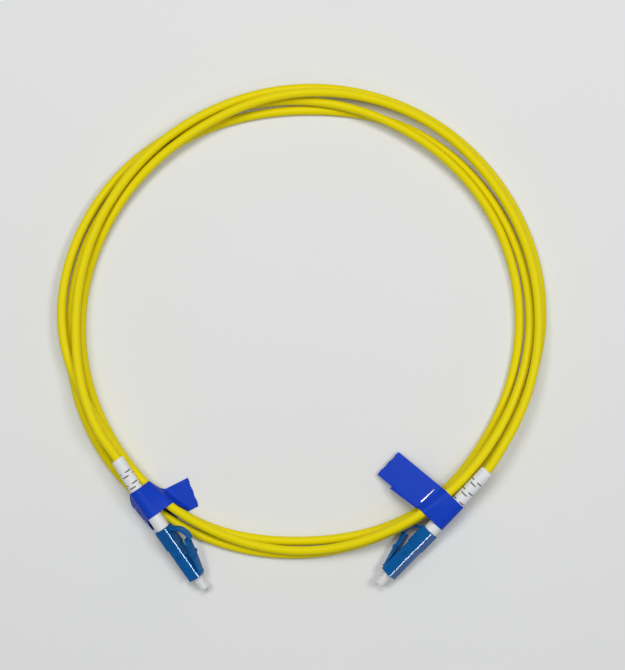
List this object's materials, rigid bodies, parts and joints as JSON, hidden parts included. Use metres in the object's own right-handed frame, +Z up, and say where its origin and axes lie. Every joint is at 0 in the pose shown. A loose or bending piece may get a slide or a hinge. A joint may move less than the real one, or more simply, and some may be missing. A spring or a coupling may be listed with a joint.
{
  "type": "fiber optic patch cord",
  "caption": "Round yellow cord laid in a flat ring, with a small square latched plug, boot and dust cap on each end, each held to the ring by blue tape; carries light between two sockets.",
  "frame": {"origin": "centre of the object's bounding box in plan, on the table that it lies on", "axes": "+X across the ring from plug a's side to plug b's, +Y from the plugs to the ring's far side, +Z up from the table"},
  "size_m": [0.1664, 0.1722, 0.0115],
  "materials": {
    "cord_yellow": "satin extruded jacket",
    "yarn": "loose aramid strands",
    "buffer_white": "smooth",
    "boot_white": "satin, flexible",
    "crimp_metal": "plated",
    "plug_blue": "satin moulded",
    "spring_steel": "bright wire",
    "ceramic": "polished ceramic",
    "cap_clear": "translucent, soft",
    "tape_blue": "satin film",
    "staple_metal": "bright wire"
  },
  "bodies": {
    "cord_set": {"cable_jacket": "cord_yellow", "aramid_yarn": "yarn", "buffered_fiber": "buffer_white", "boot_a": "boot_white", "crimp_sleeve_a": "crimp_metal", "crimp_body_a": "crimp_metal", "rear_housing_a": "plug_blue", "front_housing_a": "plug_blue", "ferrule_spring_a": "spring_steel", "tape_a": "tape_blue", "staple_a": "staple_metal", "boot_b": "boot_white", "crimp_sleeve_b": "crimp_metal", "crimp_body_b": "crimp_metal", "rear_housing_b": "plug_blue", "front_housing_b": "plug_blue", "ferrule_spring_b": "spring_steel", "tape_b": "tape_blue", "staple_b": "staple_metal"},
    "trigger_a": {"trigger_a": "plug_blue"},
    "latch_a": {"latch_a": "plug_blue"},
    "ferrule_a": {"ferrule_flange_a": "crimp_metal", "ferrule_a": "ceramic"},
    "dust_cap_a": {"dust_cap_a": "cap_clear"},
    "trigger_b": {"trigger_b": "plug_blue"},
    "latch_b": {"latch_b": "plug_blue"},
    "ferrule_b": {"ferrule_flange_b": "crimp_metal", "ferrule_b": "ceramic"},
    "dust_cap_b": {"dust_cap_b": "cap_clear"}
  },
  "joints": [
    {"name": "trigger_a_press", "type": "hinge", "parent": "cord_set", "child": "trigger_a", "pos_m": [-0.0444, -0.0642, 0.00738], "axis": [0.3593, 0.3609, -0.8606], "range_deg": [0, 14], "stiffness_Nm_per_rad": 0.004},
    {"name": "latch_a_bend", "type": "hinge", "parent": "cord_set", "child": "latch_a", "pos_m": [-0.0344, -0.07915, 0.00529], "axis": [-0.3593, -0.3609, 0.8606], "range_deg": [0, 8.5]},
    {"name": "ferrule_a_float", "type": "slide", "parent": "cord_set", "child": "ferrule_a", "axis": [0.5586, -0.8219, -0.1115], "range_m": [-0.001, 0], "stiffness_N_per_m": 1500, "deforming": ["ferrule_spring_a"]},
    {"name": "dust_cap_a_pull", "type": "slide", "parent": "cord_set", "child": "dust_cap_a", "axis": [0.5586, -0.8219, -0.1115], "range_m": [0, 0.012]},
    {"name": "trigger_b_press", "type": "hinge", "parent": "cord_set", "child": "trigger_b", "pos_m": [0.04065, -0.06448, 0.0049], "axis": [-0.4608, 0.327, 0.8251], "range_deg": [0, 14], "stiffness_Nm_per_rad": 0.004},
    {"name": "latch_b_bend", "type": "hinge", "parent": "cord_set", "child": "latch_b", "pos_m": [0.02832, -0.07762, 0.00321], "axis": [0.4608, -0.327, -0.8251], "range_deg": [0, 8.5]},
    {"name": "ferrule_b_float", "type": "slide", "parent": "cord_set", "child": "ferrule_b", "axis": [-0.6863, -0.7207, -0.0976], "range_m": [-0.001, 0], "stiffness_N_per_m": 1500, "deforming": ["ferrule_spring_b"]},
    {"name": "dust_cap_b_pull", "type": "slide", "parent": "cord_set", "child": "dust_cap_b", "axis": [-0.6863, -0.7207, -0.0976], "range_m": [0, 0.012]}
  ],
  "couplings": [
    {"joint": "latch_a_bend", "follows": "trigger_a_press", "ratio": 0.6},
    {"joint": "latch_b_bend", "follows": "trigger_b_press", "ratio": 0.6}
  ]
}
